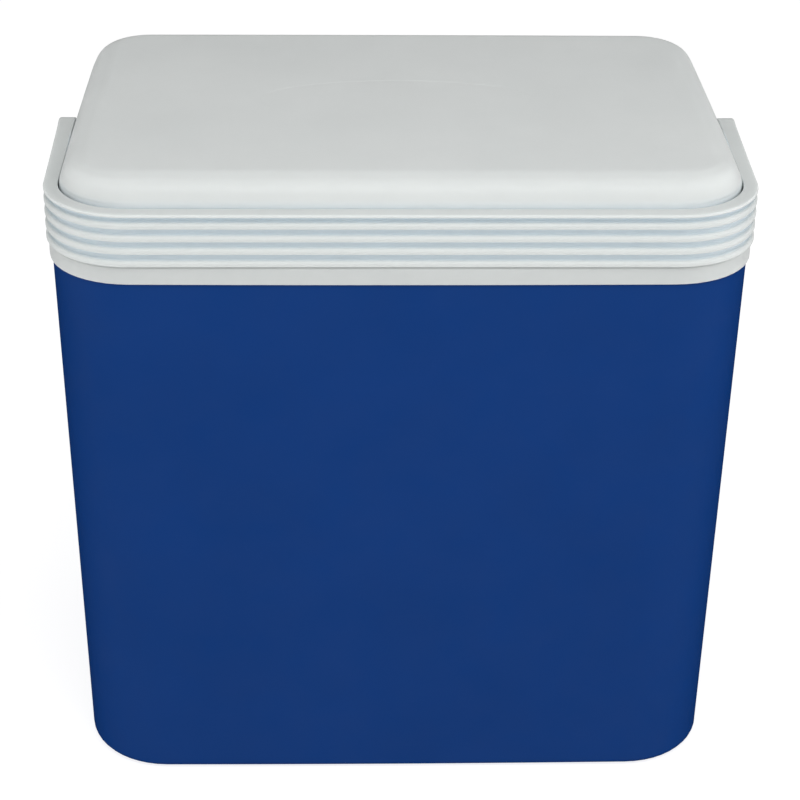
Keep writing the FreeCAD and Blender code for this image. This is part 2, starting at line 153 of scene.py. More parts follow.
def rounded(corners, closed=False, steps=5, support=0.7):
    """A profile with rounded corners. Each corner is (across, up, radius). Beside each round, a
    `support` point keeps the flat next to it flat when the mesh is shaded smooth. On a short side
    the two support points move closer to their rounds, so that they never pass each other."""
    count = len(corners)
    reaches = [reach_of_corner(corners, index, closed) for index in range(count)]
    corners = [np.array(c[:2], float) for c in corners]
    made = []
    for index, (point, reach) in enumerate(zip(corners, reaches)):
        if reach == 0:
            made.append(point)
            continue
        following = (index + 1) % count
        back, ahead = corners[index - 1] - point, corners[following] - point
        room_back, room_ahead = np.linalg.norm(back), np.linalg.norm(ahead)
        back, ahead = back / room_back, ahead / room_ahead
        opening = math.acos(float(np.clip(back @ ahead, -1, 1)))
        radius = reach * math.tan(opening / 2)
        middle = (back + ahead) / np.linalg.norm(back + ahead)
        centre = point + middle * radius / math.sin(opening / 2)
        start, end = point + back * reach, point + ahead * reach
        if room_back - reach > SUPPORT_ROOM * support:
            flat = room_back - reach - reaches[index - 1]
            made.append(start + back * min(support, MOST_SUPPORT * flat))
        for share in np.linspace(0, 1, steps + 1):
            chord = (start - centre) * (1 - share) + (end - centre) * share
            made.append(centre + chord / np.linalg.norm(chord) * radius)
        if room_ahead - reach > SUPPORT_ROOM * support:
            flat = room_ahead - reach - reaches[following]
            made.append(end + ahead * min(support, MOST_SUPPORT * flat))
    return made


# ---------------------------------------------------------------- meshes

WELD = 0.004
# Rods start this far from their axis, and plate rings end at a small hole. Fans close both.
CORE = 0.3
PLATE_CORE = 3.0


def mesh_object(name, vertices, faces):
    mesh = bpy.data.meshes.new(name)
    mesh.from_pydata(np.asarray(vertices).tolist(), [], faces)
    mesh.validate()
    thing = bpy.data.objects.new(name, mesh)
    bpy.context.scene.collection.objects.link(thing)
    return thing


def skin(name, rings, closed=False, start_cap=None, end_cap=None):
    """Quads between rings of equal length. A closed skin joins the last ring to the first. A cap
    closes the first or the last ring: a point for a fan, or "flat" for one face."""
    count = len(rings[0])
    vertices = list(np.vstack(rings))
    faces = []
    for level in range(len(rings) if closed else len(rings) - 1):
        here = level * count
        above = (level + 1) % len(rings) * count
        for index in range(count):
            after = (index + 1) % count
            faces.append((here + index, here + after, above + after, above + index))
    for cap, first in ((start_cap, 0), (end_cap, (len(rings) - 1) * count)):
        if isinstance(cap, str):
            faces.append(tuple(range(first, first + count)))
        elif cap is not None:
            tip = len(vertices)
            vertices.append(np.array(cap, float))
            for index in range(count):
                faces.append((first + index, first + (index + 1) % count, tip))
    thing = mesh_object(name, vertices, faces)
    tidy_mesh(thing)
    return thing


def tidy_mesh(thing):
    """Welds doubled points and turns all faces outward."""
    work = bmesh.new()
    work.from_mesh(thing.data)
    bmesh.ops.remove_doubles(work, verts=work.verts, dist=WELD)
    bmesh.ops.recalc_face_normals(work, faces=work.faces)
    work.to_mesh(thing.data)
    work.free()


def lathe(name, profile, axis, centre, steps=56):
    """A closed profile of (along, radius) turned about X or Z through `centre`."""
    turn = np.linspace(0, 2 * math.pi, steps, endpoint=False)
    rings = []
    for along, radius in profile:
        across = radius * np.cos(turn)
        up = radius * np.sin(turn)
        level = np.full(steps, along)
        columns = (level, across, up) if axis == "X" else (across, up, level)
        rings.append(np.column_stack(columns) + np.array(centre))
    first, last = rings[0].mean(axis=0), rings[-1].mean(axis=0)
    return skin(name, rings, start_cap=first, end_cap=last)


def cut_or_join(thing, tool, operation):
    """Joins a tool's solid to a piece, or cuts it out, and removes the tool."""
    modifier = thing.modifiers.new("boolean", "BOOLEAN")
    modifier.operation = operation
    modifier.solver = "MANIFOLD"
    modifier.object = tool
    graph = bpy.context.evaluated_depsgraph_get()
    made = bpy.data.meshes.new_from_object(thing.evaluated_get(graph))
    thing.modifiers.clear()
    thing.data = made
    bpy.data.objects.remove(tool)


def points_of(mesh):
    places = np.zeros(len(mesh.vertices) * 3)
    mesh.vertices.foreach_get("co", places)
    return places.reshape(-1, 3)


def store_marks(mesh, name, values):
    """Stores one number per point, which a material reads by its name."""
    store = mesh.attributes.new(name, "FLOAT", "POINT")
    store.data.foreach_set("value", values.astype(np.float32))


def mark_curvature(thing):
    """Stores how far each point stands out (edge) or lies in a fold (fold), for wear and dust."""
    mesh = thing.data
    work = bmesh.new()
    work.from_mesh(mesh)
    bends = []
    for vert in work.verts:
        angles = [edge.calc_face_angle_signed(0.0) for edge in vert.link_edges]
        bends.append(sum(angles) / max(len(angles), 1))
    work.free()
    bends = np.array(bends)
    full_bend = math.radians(9)
    for name, sign in (("edge", 1), ("fold", -1)):
        store_marks(mesh, name, np.clip(sign * bends / full_bend, 0, 1))


def finish_piece(thing, node, body, material, sharp=38):
    """Metres, smooth shading, wear marks, material, and its place in the frame."""
    mesh = thing.data
    mesh.transform(Matrix.Scale(MM, 4))
    mesh.shade_smooth()
    mesh.set_sharp_from_angle(angle=math.radians(sharp))
    mark_curvature(thing)
    mesh.materials.clear()
    mesh.materials.append(material)
    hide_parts(node)
    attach(thing, body)
    return thing


# ---------------------------------------------------------------- materials


class Nodes:
    """A material's node tree, with short calls for the nodes used here."""

    def __init__(self, name):
        self.material = bpy.data.materials.new(name)
        self.material.use_nodes = True
        self.tree = self.material.node_tree
        self.shader = self.tree.nodes["Principled BSDF"]
        self.place = self.tree.nodes.new("ShaderNodeTexCoord").outputs["Object"]

    def link(self, source, socket):
        self.tree.links.new(source, socket)

    def put(self, socket, value):
        """Sets a plain value on one of the shader's sockets."""
        self.shader.inputs[socket].default_value = value

    def noise(self, size, detail=2.0, rough=0.5, place=None):
        """Soft noise whose features measure `size` millimetres."""
        node = self.tree.nodes.new("ShaderNodeTexNoise")
        node.inputs["Scale"].default_value = 1 / (size * MM)
        node.inputs["Detail"].default_value = detail
        node.inputs["Roughness"].default_value = rough
        self.link(place or self.place, node.inputs["Vector"])
        return node.outputs["Fac"]

    def streaks(self, size, stretch, turn):
        """Noise drawn out into fine parallel lines, turned about the three axes."""
        node = self.tree.nodes.new("ShaderNodeMapping")
        node.inputs["Rotation"].default_value = turn
        node.inputs["Scale"].default_value = (1 / stretch, 1.0, 1.0)
        self.link(self.place, node.inputs["Vector"])
        return self.noise(size, 1.0, 0.5, node.outputs["Vector"])

    def band(self, value, low, high, out_low=0.0, out_high=1.0):
        """Maps a value from low..high to out_low..out_high, and clamps it."""
        node = self.tree.nodes.new("ShaderNodeMapRange")
        for socket, number in (
            ("From Min", low),
            ("From Max", high),
            ("To Min", out_low),
            ("To Max", out_high),
        ):
            node.inputs[socket].default_value = number
        self.link(value, node.inputs["Value"])
        return node.outputs["Result"]

    def math(self, operation, a, b):
        node = self.tree.nodes.new("ShaderNodeMath")
        node.operation = operation
        node.use_clamp = operation != "ADD"
        for socket, value in zip(node.inputs, (a, b)):
            if isinstance(value, (int, float)):
                socket.default_value = value
            else:
                self.link(value, socket)
        return node.outputs["Value"]

    def mix(self, share, a, b):
        """One colour towards another. Each is a colour or a socket. The Mix node's colour sockets
        are its inputs 6 and 7 and its output 2."""
        node = self.tree.nodes.new("ShaderNodeMix")
        node.data_type = "RGBA"
        self.link(share, node.inputs["Factor"])
        for socket, value in ((node.inputs[6], a), (node.inputs[7], b)):
            if isinstance(value, tuple):
                socket.default_value = (*value, 1.0)
            else:
                self.link(value, socket)
        return node.outputs[2]

    def mark(self, name):
        node = self.tree.nodes.new("ShaderNodeAttribute")
        node.attribute_name = name
        return node.outputs["Fac"]

    def bump(self, height, depth, strength=1.0, onto=None):
        """A relief `depth` millimetres deep, on top of another one."""
        node = self.tree.nodes.new("ShaderNodeBump")
        node.inputs["Distance"].default_value = depth * MM
        node.inputs["Strength"].default_value = strength
        self.link(height, node.inputs["Height"])
        if onto is not None:
            self.link(onto, node.inputs["Normal"])
        return node.outputs["Normal"]


def moulded_plastic(name, colour, shade, worn, dust, rough, gloss, grain, milky=0.0, deep=None):
    """Injection-moulded plastic: spark-eroded grain, slow waviness of the moulding, faint colour
    drift, rubbed edges, dust in the folds and a few hair scratches. `deep` is painted shade, a cool
    bluish tint for light bouncing in the marked grooves and gaps; `milky` is how much light passes
    under the surface."""
    nodes = Nodes(name)
    drift = nodes.noise(70.0, 3.0, 0.55)
    flecks = nodes.noise(2.2, 4.0, 0.6)
    tone = nodes.mix(nodes.band(drift, 0.35, 0.65), colour, shade)
    tone = nodes.mix(nodes.band(flecks, 0.45, 0.75, 0.0, 0.10), tone, shade)
    # Painted shade: where the `recess` mark is set, the colour turns to `deep`, a cool bluish tint
    # standing in for bounced light in grooves and gaps.
    if deep is not None:
        tone = nodes.mix(nodes.mark("recess"), tone, deep)
    edges = nodes.mark("edge")
    rubbed_patches = nodes.band(nodes.noise(9.0, 5.0, 0.65), 0.42, 0.68)
    rubbed = nodes.math("MULTIPLY", edges, rubbed_patches)
    tone = nodes.mix(nodes.math("MULTIPLY", rubbed, 0.10), tone, worn)
    folds = nodes.mark("fold")
    dusty_patches = nodes.band(nodes.noise(14.0, 4.0, 0.6), 0.3, 0.7)
    dusty = nodes.math("MULTIPLY", folds, dusty_patches)
    tone = nodes.mix(nodes.math("MULTIPLY", dusty, 0.05), tone, dust)
    scratch_a = nodes.band(nodes.streaks(0.5, 60.0, (0.1, 0.5, 0.15)), 0.735, 0.76)
    scratch_b = nodes.band(nodes.streaks(0.6, 80.0, (0.2, -0.9, -0.1)), 0.735, 0.76)
    scratches = nodes.math("MAXIMUM", scratch_a, scratch_b)
    tone = nodes.mix(nodes.math("MULTIPLY", scratches, 0.12), tone, worn)
    nodes.link(tone, nodes.shader.inputs["Base Color"])

    sheen_drift = nodes.band(nodes.noise(26.0, 5.0, 0.6), 0.3, 0.7, rough - 0.05, rough + 0.06)
    polished = nodes.math("MULTIPLY", rubbed, 0.06)
    roughness = nodes.math("SUBTRACT", sheen_drift, polished)
    roughness = nodes.math("MAXIMUM", roughness, 0.05)
    nodes.link(roughness, nodes.shader.inputs["Roughness"])

    wave = nodes.bump(nodes.noise(55.0, 1.0, 0.4), 0.10)
    orange = nodes.bump(nodes.noise(3.0, 1.0, 0.5), 0.006, onto=wave)
    texture = nodes.bump(nodes.noise(grain, 3.0, 0.6), grain * 0.012, onto=orange)
    lines = nodes.bump(scratches, 0.006, 0.5, onto=texture)
    nodes.link(lines, nodes.shader.inputs["Normal"])
    nodes.put("IOR", 1.49)
    nodes.put("Specular IOR Level", gloss)
    nodes.put("Subsurface Weight", milky)
    nodes.put("Subsurface Radius", (1.0, 1.0, 1.0))
    nodes.put("Subsurface Scale", 5.0 * MM)
    return nodes.material


def rigid_foam(name):
    """Cast polyurethane foam: small open cells, and denser, darker skin in patches."""
    nodes = Nodes(name)
    cells = nodes.tree.nodes.new("ShaderNodeTexVoronoi")
    cells.inputs["Scale"].default_value = 1 / (1.1 * MM)
    nodes.link(nodes.place, cells.inputs["Vector"])
    skin_patches = nodes.band(nodes.noise(18.0, 4.0, 0.6), 0.45, 0.6)
    pale, brown = (0.80, 0.70, 0.42), (0.62, 0.47, 0.22)
    tone = nodes.mix(skin_patches, pale, brown)
    tone = nodes.mix(nodes.band(cells.outputs["Distance"], 0.0, 0.35, 0.5, 0.0), tone, brown)
    nodes.link(tone, nodes.shader.inputs["Base Color"])
    roughness = nodes.band(skin_patches, 0.0, 1.0, 0.95, 0.75)
    nodes.link(roughness, nodes.shader.inputs["Roughness"])
    lumps = nodes.bump(nodes.noise(8.0, 3.0, 0.6), 0.5)
    pores = nodes.bump(cells.outputs["Distance"], 0.35, onto=lumps)
    nodes.link(pores, nodes.shader.inputs["Normal"])
    return nodes.material


BLUE = moulded_plastic(
    "blue_polypropylene",
    colour=(0.0026, 0.0345, 0.169),
    shade=(0.0023, 0.0331, 0.162),
    worn=(0.012, 0.050, 0.20),
    dust=(0.02, 0.045, 0.12),
    rough=0.36,
    gloss=0.12,
    grain=0.42,
)
WHITE = moulded_plastic(
    "white_polypropylene",
    colour=(0.640, 0.662, 0.655),
    shade=(0.624, 0.647, 0.641),
    worn=(0.72, 0.725, 0.71),
    dust=(0.46, 0.455, 0.43),
    rough=0.46,
    gloss=0.2,
    grain=0.36,
    milky=0.8,
    # Painted shade: the cool bluish tint of the lid's band beside the handle's flange.
    deep=(0.69, 0.755, 0.785),
)
# Painted shade: the same white plastic as the lid, painted darker so that the brightly lit steep
# faces of the handle, collar and pins come out dimmer.
SHADED_WHITE = moulded_plastic(
    "white_polypropylene_shaded",
    colour=(0.567, 0.588, 0.581),
    shade=(0.553, 0.575, 0.569),
    worn=(0.65, 0.655, 0.645),
    dust=(0.44, 0.435, 0.41),
    rough=0.46,
    gloss=0.2,
    grain=0.36,
    milky=0.8,
    # Painted shade: the cool bluish tint of the handle's grooves and of its inner face beside the
    # lid.
    deep=(0.67, 0.74, 0.78),
)
LINER_WHITE = moulded_plastic(
    "liner_polypropylene",
    colour=(0.74, 0.75, 0.74),
    shade=(0.71, 0.72, 0.71),
    worn=(0.77, 0.775, 0.76),
    dust=(0.50, 0.49, 0.46),
    rough=0.32,
    gloss=0.5,
    grain=0.6,
)
FOAM = rigid_foam("rigid_foam")


# ---------------------------------------------------------------- sizes, from the frame

_, SHELL_HIGH = box_mm("outer_shell")
COLLAR_LOW, COLLAR_HIGH = box_mm("rim_collar")
LID_LOW, LID_HIGH = box_mm("lid_cover")
HANDLE_LOW, HANDLE_HIGH = box_mm("handle")
PANEL_LOW, PANEL_HIGH = box_mm("lid_inner_panel")
LINER_LOW, LINER_HIGH = box_mm("inner_liner")
PIN_LOW, PIN_HIGH = box_mm("right_pivot_pin")
PLUG_LOW, PLUG_HIGH = box_mm("base_fill_plug")

BODY_BOW = 0.7
TUB_TOP = Plan(SHELL_HIGH[0], SHELL_HIGH[1], 46.0, BODY_BOW)
TUB_BASE = Plan(187.5, 131.2, 49.0, BODY_BOW)
TUB_WALL = 2.4
TUB_FLOOR = 5.4
# How far the tub's floors run in from their walls before plate rings take over.
TUB_FLAT = 30
FOOT_WIDTH = 16.0
FOOT_RECESS = 3.0
FILL_HOLE = 12.0
PLUG_HEAD = 16.0

SKIRT = Plan(193.5, COLLAR_HIGH[1], 47.5, BODY_BOW)
LEDGE = 334.0
RIM = COLLAR_HIGH[2]
COLLAR_WALL = 2.6
COLLAR_LIP = 9.6
LIP_THICK = 2.5
SHELL_GAP = 0.1
LID_BOW = 0.45
LID = Plan(LID_HIGH[0] + LID_BOW, LID_HIGH[1] + LID_BOW / 2, 41.5, LID_BOW)
MOUTH = Plan(167.5, 110.5, 30.0)
CAVITY_FLOOR = Plan(162.5, 105.5, 26.0)
CAVITY_FLOOR_HEIGHT = 30.0
LINER_WALL = 2.0
LINER_FLANGE = 2.5
LINER_FLAT = 60
LINER_FLOOR_ROUND = 9.0

PIVOT = float(HANDLE_LOW[2] + HANDLE_HIGH[2]) / 2
EYE = float(HANDLE_HIGH[2] - HANDLE_LOW[2]) / 2
EYE_PROUD = 0.03
# Radii about the pivot axis, and distances along it from the middle of the chest.
PIN = 3.2
PIN_HEAD = 7.0
PIN_HEAD_THICK = 2.2
BOSS_START, BOSS_END, BOSS_ROUND = 184.6, 186.2, 6.5
SOCKET_START, SOCKET_END, SOCKET_ROUND = 174.0, 183.9, 4.2
BORE_START, BORE_END = 173.0, 190.0


# ---------------------------------------------------------------- box


def tub_plan(inset, height):
    """The blue tub's outline at a height, pulled in by an inset."""
    share = height / SHELL_HIGH[2]
    return mix_plans(TUB_BASE, TUB_TOP, share).pulled_in(inset)


def rings_of(profile, plan_at):
    """A profile of (inset, height) carried round the plan that belongs to each point."""
    return [ring(plan_at(inset, height), height) for inset, height in profile]


def plate_rings(outer, height, hole, steps=6):
    """Rings across a flat plate, from a plan to a round hole."""
    rim, middle = outer.points(), oval(hole, hole)
    rings = []
    for share in np.linspace(0, 1, steps + 1)[1:]:
        rings.append(ring(rim * (1 - share) + middle * share, height))
    return rings


def closed_pan(name, profile, plan_at):
    """A pan whose profile starts and ends on the two faces of its flat bottom. Plate rings and a
    fan fill both faces."""
    (first, start), (last, end) = profile[0], profile[-1]
    head = plate_rings(plan_at(first, start), start, PLATE_CORE)
    tail = plate_rings(plan_at(last, end), end, PLATE_CORE)
    rings = head[::-1] + rings_of(profile, plan_at) + tail
    return skin(name, rings, start_cap=(0, 0, start), end_cap=(0, 0, end))


def turned_on_pivot(name, profile, side, steps=56):
    """A lathed solid about the pivot axis, on the right (side 1) or on the left (side -1)."""
    placed = [(side * along, radius) for along, radius in profile]
    return lathe(name, placed, "X", (0, 0, PIVOT), steps)


def rod(start, end, radius):
    """A plain rod's profile of (along, radius)."""
    return [(start, CORE), (start, radius), (end, radius), (end, CORE)]


def make_tub():
    top = SHELL_HIGH[2]
    outside = rounded(
        [
            (FOOT_WIDTH + TUB_FLAT, FOOT_RECESS, 0),
            (FOOT_WIDTH, FOOT_RECESS, 1.0),
            (FOOT_WIDTH, 0, 1.4),
            (0, 0, 6.0),
            (0, top, 0.7),
            (TUB_WALL, top, 0.7),
            (TUB_WALL, TUB_FLOOR, 4.0),
            (TUB_WALL + TUB_FLAT, TUB_FLOOR, 0),
        ],
        steps=6,
    )
    rings = rings_of(outside, tub_plan)
    rings += plate_rings(tub_plan(TUB_WALL + TUB_FLAT, TUB_FLOOR), TUB_FLOOR, FILL_HOLE)
    under_plan = tub_plan(FOOT_WIDTH + TUB_FLAT, FOOT_RECESS)
    under = plate_rings(under_plan, FOOT_RECESS, FILL_HOLE)
    tub = skin("blue_tub", rings + under[::-1], closed=True)
    return finish_piece(tub, "outer_shell", "box", BLUE)


def make_base_plug():
    """The cap in the foam's filling hole, with a shallow ring groove in its face."""
    low, high = PLUG_LOW[2], PLUG_HIGH[2]
    profile = rounded(
        [
            (low, 0.5, 0),
            (low, 3.5, 0.4),
            (low + 0.5, 4.2, 0.4),
            (low, 5.0, 0.4),
            (low, PLUG_HEAD, 0.7),
            (FOOT_RECESS, PLUG_HEAD, 0.3),
            (FOOT_RECESS, FILL_HOLE, 0.2),
            (high, FILL_HOLE, 0.5),
            (high, 0.5, 0),
        ],
        support=0.25,
    )
    plug = lathe("base_plug", profile, "Z", (0, 0, 0))
    return finish_piece(plug, "base_fill_plug", "box", BLUE)


def collar_plan(inset, height):
    """Insets up to the wall's face lead from the skirt's outline to the lid's; past it, inward."""
    step = SKIRT.half_x - LID.half_x
    if inset <= step:
        return mix_plans(SKIRT, LID, inset / step)
    return LID.pulled_in(inset - step)


def make_collar():
    step = SKIRT.half_x - LID.half_x
    wall = step + COLLAR_WALL
    seat = RIM - LINER_FLANGE
    lip = step + COLLAR_LIP
    shell_inside = SKIRT.half_x - TUB_TOP.half_x - SHELL_GAP
    profile = rounded(
        [
            (0, COLLAR_LOW[2], 0.7),
            (0, LEDGE, 1.6),
            (step, LEDGE, 0.5),
            (step, RIM, 0.6),
            (wall, RIM, 0.6),
            (wall, seat, 0.3),
            (lip, seat, 0.5),
            (lip, seat - LIP_THICK, 0.5),
            (wall, seat - LIP_THICK, 1.0),
            (wall, SHELL_HIGH[2], 0.5),
            (shell_inside, SHELL_HIGH[2], 0.2),
            (shell_inside, COLLAR_LOW[2], 0.3),
        ],
        closed=True,
    )
    collar = skin("rim_collar_ring", rings_of(profile, collar_plan), closed=True)
    # The boss stands outside the wall and the socket inside it. Each has one edge broken.
    boss = rod(BOSS_START, BOSS_END, BOSS_ROUND)
    boss[2:3] = [(BOSS_END - 0.1, BOSS_ROUND), (BOSS_END, BOSS_ROUND - 0.1)]
    socket = rod(SOCKET_START, SOCKET_END, SOCKET_ROUND)
    socket[1:2] = [(SOCKET_START, SOCKET_ROUND - 0.3), (SOCKET_START + 0.3, SOCKET_ROUND)]
    bore = rod(BORE_START, BORE_END, PIN)
    for side in (1, -1):
        for label, section, operation in (
            ("boss", boss, "UNION"),
            ("socket", socket, "UNION"),
            ("bore", bore, "DIFFERENCE"),
        ):
            cut_or_join(collar, turned_on_pivot(label, section, side), operation)
    return finish_piece(collar, "rim_collar", "box", SHADED_WHITE)


def cavity_plan(outset, height):
    """The liner's cavity wall at a height; an outset leads to its outer face, then to its flange."""
    share = (height - CAVITY_FLOOR_HEIGHT) / (LINER_HIGH[2] - CAVITY_FLOOR_HEIGHT)
    wall = mix_plans(CAVITY_FLOOR, MOUTH, share)
    if outset <= LINER_WALL:
        return wall.pulled_in(-outset)
    flange = Plan(LINER_HIGH[0], LINER_HIGH[1], 38.8, LID_BOW)
    reach = flange.half_x - MOUTH.half_x - LINER_WALL
    return mix_plans(wall.pulled_in(-LINER_WALL), flange, (outset - LINER_WALL) / reach)


def make_liner():
    flange = LINER_HIGH[0] - MOUTH.half_x
    rim, low = LINER_HIGH[2], LINER_LOW[2]
    floor = CAVITY_FLOOR_HEIGHT
    profile = rounded(
        [
            (-LINER_FLAT, floor, 0),
            (0, floor, LINER_FLOOR_ROUND),
            (0, rim, 1.5),
            (flange, rim, 0.5),
            (flange, rim - LINER_FLANGE, 0.3),
            (LINER_WALL, rim - LINER_FLANGE, 1.0),
            (LINER_WALL, low, LINER_FLOOR_ROUND),
            (-LINER_FLAT, low, 0),
        ],
        steps=8,
    )
    liner = closed_pan("liner_tub", profile, cavity_plan)
    return finish_piece(liner, "inner_liner", "box", LINER_WHITE)


def make_pin(name, node, side):
    """A pivot pin with a chamfered tip and a slightly domed head."""
    inner, outer = PIN_LOW[0], PIN_HIGH[0]
    shoulder = outer - PIN_HEAD_THICK
    tip_length, tip_depth = 0.7, 0.5
    profile = rounded(
        [
            (inner, 0.2, 0),
            (inner, PIN - tip_depth, 0.2),
            (inner + tip_length, PIN, 0.3),
            (shoulder, PIN, 0.2),
            (shoulder, PIN_HEAD, 0.4),
            (outer - 0.7, PIN_HEAD, 0.8),
            (outer - 0.12, 4.0, 2.5),
            (outer, 0.2, 0),
        ],
        support=0.3,
    )
    pin = turned_on_pivot(name, profile, side)
    return finish_piece(pin, node, "box", SHADED_WHITE)


# ---------------------------------------------------------------- handle

ARM_OUTSIDE = float(HANDLE_HIGH[0])
ARM_OUTSIDE_FRONT = 193.9
BAR_OUTSIDE = float(-HANDLE_LOW[1])
BEND_OUTSIDE = 48.0
ARM_INSIDE = 186.5
ARM_INSIDE_FRONT = 186.1
BAR_INSIDE = 129.55
BEND_INSIDE = 40.0
GROOVE_DEPTH = 3.2
FIN_PITCH = 7.2
FIN_HEIGHT = 3.3
# How much a groove's lower and upper faces lean in towards its floor.
LEAN_LOWER, LEAN_UPPER = 0.25, 0.1
BAIL_LOW = 334.4
BAIL_HIGH = 364.5
TOP_FLANGE = 362.6
EYE_STEPS = 72
EYE_FLOOR = 192.6
EYE_RECESS = 7.6
PIN_PLAY = 0.05
# How far the tools that cut through the eye reach past its faces.
CUT_PAST = 2


def u_line(arm, arm_front, bar, bend, arm_steps=12, bend_steps=18, bar_steps=26):
    """Half of the handle in plan, mirrored to the whole: arm, bend, bar, bend, arm."""
    lean = math.atan((arm - arm_front) / (bar - bend))
    centre = np.array([arm_front - bend * math.cos(lean), bend - bar])
    meet = centre + bend * np.array([math.cos(lean), -math.sin(lean)])
    half = []
    for k in range(arm_steps):
        half.append(np.array([arm, 0.0]) * (1 - k / arm_steps) + meet * k / arm_steps)
    for turn in np.linspace(-lean, -math.pi / 2, bend_steps + 1):
        half.append(centre + bend * np.array([math.cos(turn), math.sin(turn)]))
    for k in range(1, bar_steps // 2 + 1):
        half.append(np.array([centre[0] * (1 - 2 * k / bar_steps), -bar]))
    half = np.array(half)
    return np.vstack([half, half[-2::-1] * (-1, 1)])


def depth_in_handle(points):
    """How far points lie inside the handle's outer face in plan, in millimetres."""
    lean = math.atan((ARM_OUTSIDE - ARM_OUTSIDE_FRONT) / (BAR_OUTSIDE - BEND_OUTSIDE))
    centre_x = ARM_OUTSIDE_FRONT - BEND_OUTSIDE * math.cos(lean)
    centre_y = BEND_OUTSIDE - BAR_OUTSIDE
    across, along = np.abs(points[:, 0]), points[:, 1]
    arm = (ARM_OUTSIDE + np.minimum(along, 0) * math.tan(lean) - across) * math.cos(lean)
    bend = BEND_OUTSIDE - np.hypot(across - centre_x, along - centre_y)
    bar = along + BAR_OUTSIDE
    meet_y = centre_y - BEND_OUTSIDE * math.sin(lean)
    return np.where(along > meet_y, arm, np.where(across > centre_x, bend, bar))


def comb_profile():
    """The handle's section: (depth from the outer face, height). Five fins on a web."""
    low, high = BAIL_LOW, BAIL_HIGH
    thick = BAR_OUTSIDE - BAR_INSIDE
    corners = [(thick, high, 0.5), (thick, low, 0.8)]
    for row in range(4):
        bottom = low + row * FIN_PITCH
        top = bottom + FIN_HEIGHT
        following = low + (row + 1) * FIN_PITCH if row < 3 else TOP_FLANGE
        corners += [
            (0, bottom, 1.0),
            (0, top, 1.7),
            (GROOVE_DEPTH, top + LEAN_LOWER, 0.9),
            (GROOVE_DEPTH, following - LEAN_UPPER, 0.9),
        ]
    corners += [(0, TOP_FLANGE, 0.8), (0, high, 1.2)]
    return rounded(corners, closed=True, steps=5, support=0.35)


def make_handle():
    outer = u_line(ARM_OUTSIDE - EYE_PROUD, ARM_OUTSIDE_FRONT, BAR_OUTSIDE, BEND_OUTSIDE)
    inner = u_line(ARM_INSIDE, ARM_INSIDE_FRONT, BAR_INSIDE, BEND_INSIDE)
    thick = BAR_OUTSIDE - BAR_INSIDE
    profile = comb_profile()
    eye_rise = PIVOT + EYE - EYE_PROUD - BAIL_HIGH
    rings = []
    for start, end in zip(outer, inner):
        # Towards the eyes, the top flange thickens until it meets their round.
        rise = eye_rise * max(1 + start[1] / (BAR_OUTSIDE - BEND_OUTSIDE), 0) ** 1.5
        points = []
        for depth, height in profile:
            lift = rise * min(max((height - TOP_FLANGE) / (BAIL_HIGH - TOP_FLANGE), 0), 1)
            points.append((*(start + (end - start) * depth / thick), height + lift))
        rings.append(np.array(points))
    handle = skin("bail_handle", rings, start_cap="flat", end_cap="flat")
    face, back = ARM_OUTSIDE, ARM_INSIDE - EYE_PROUD
    past = face + CUT_PAST
    eye = rounded(
        [(back, 0.5, 0), (back, EYE, 0.8), (face, EYE, 1.0), (face, 0.5, 0)], support=0.4
    )
    recess = rounded(
        [
            (EYE_FLOOR, 0.5, 0),
            (EYE_FLOOR, EYE_RECESS, 0.4),
            (past, EYE_RECESS, 0),
            (past, 0.5, 0),
        ],
        support=0.4,
    )
    hole = rod(back - CUT_PAST, past, PIN + PIN_PLAY)
    for side in (1, -1):
        for label, section, operation in (
            ("eye", eye, "UNION"),
            ("recess", recess, "DIFFERENCE"),
            ("hole", hole, "DIFFERENCE"),
        ):
            tool = turned_on_pivot(label, section, side, EYE_STEPS)
            cut_or_join(handle, tool, operation)
    mark_painted_shade_of_handle(handle)
    return finish_piece(handle, "handle", "handle", SHADED_WHITE)


def mark_painted_shade_of_handle(handle):
    """Painted shade: how deep each point lies in a groove, as a share of the groove's depth, for the
    cool bluish tint painted there. The inner face is marked too, as painted light in its gap beside
    the lid, and its mark fades out towards the pivots."""
    places = points_of(handle.data)
    depth = depth_in_handle(places[:, :2])
    fin_round = 0.9
    share = np.clip((depth - fin_round) / (GROOVE_DEPTH - fin_round), 0, 1)
    # Above the lowest fin's round and below the top flange's.
    between = (places[:, 2] > BAIL_LOW + 2) & (places[:, 2] < BAIL_HIGH - 1.5)
    in_groove = between & (depth < GROOVE_DEPTH + 0.3)
    inner_face = depth > BAR_OUTSIDE - BAR_INSIDE - 0.5
    forward = np.clip(-places[:, 1] / EYE - 1, 0, 1)
    marks = np.where(in_groove, share, np.where(inner_face, forward, 0.0))
    store_marks(handle.data, "recess", marks)


# ---------------------------------------------------------------- lid

LID_WALL = 2.4
# The shoulder is two slopes between rounds. Each size is measured in or down from the lid's box.
SHOULDER_IN = 15.6
SHOULDER_DOWN = 13.4
BREAK_IN = 5.2
BREAK_DOWN = 3.0
TOP_START = SHOULDER_IN + 8
TOP_CORNER = 17.5
CORNER_EASE = 0.8
DISH = (80.0, 32.5)
DISH_DEPTH = 0.13
DISH_CENTRE = np.array([0.0, -2.2])
GATE = np.array([0.5, 3.0])
GATE_LIFT = 0.07
INSIDE_CORE = 4


def lid_plan(inset, height, wall=0.0):
    """The lid's outline at a height, on its outer face or `wall` inside it. Up the shoulder, its
    corners tighten."""
    plan = LID.pulled_in(inset)
    if height > LID_HIGH[2] - SHOULDER_DOWN - wall:
        climb = min(max(inset - wall, 0) / SHOULDER_IN, 1)
        plan.corner = LID.corner - wall - (LID.corner - TOP_CORNER) * climb**CORNER_EASE
    return plan


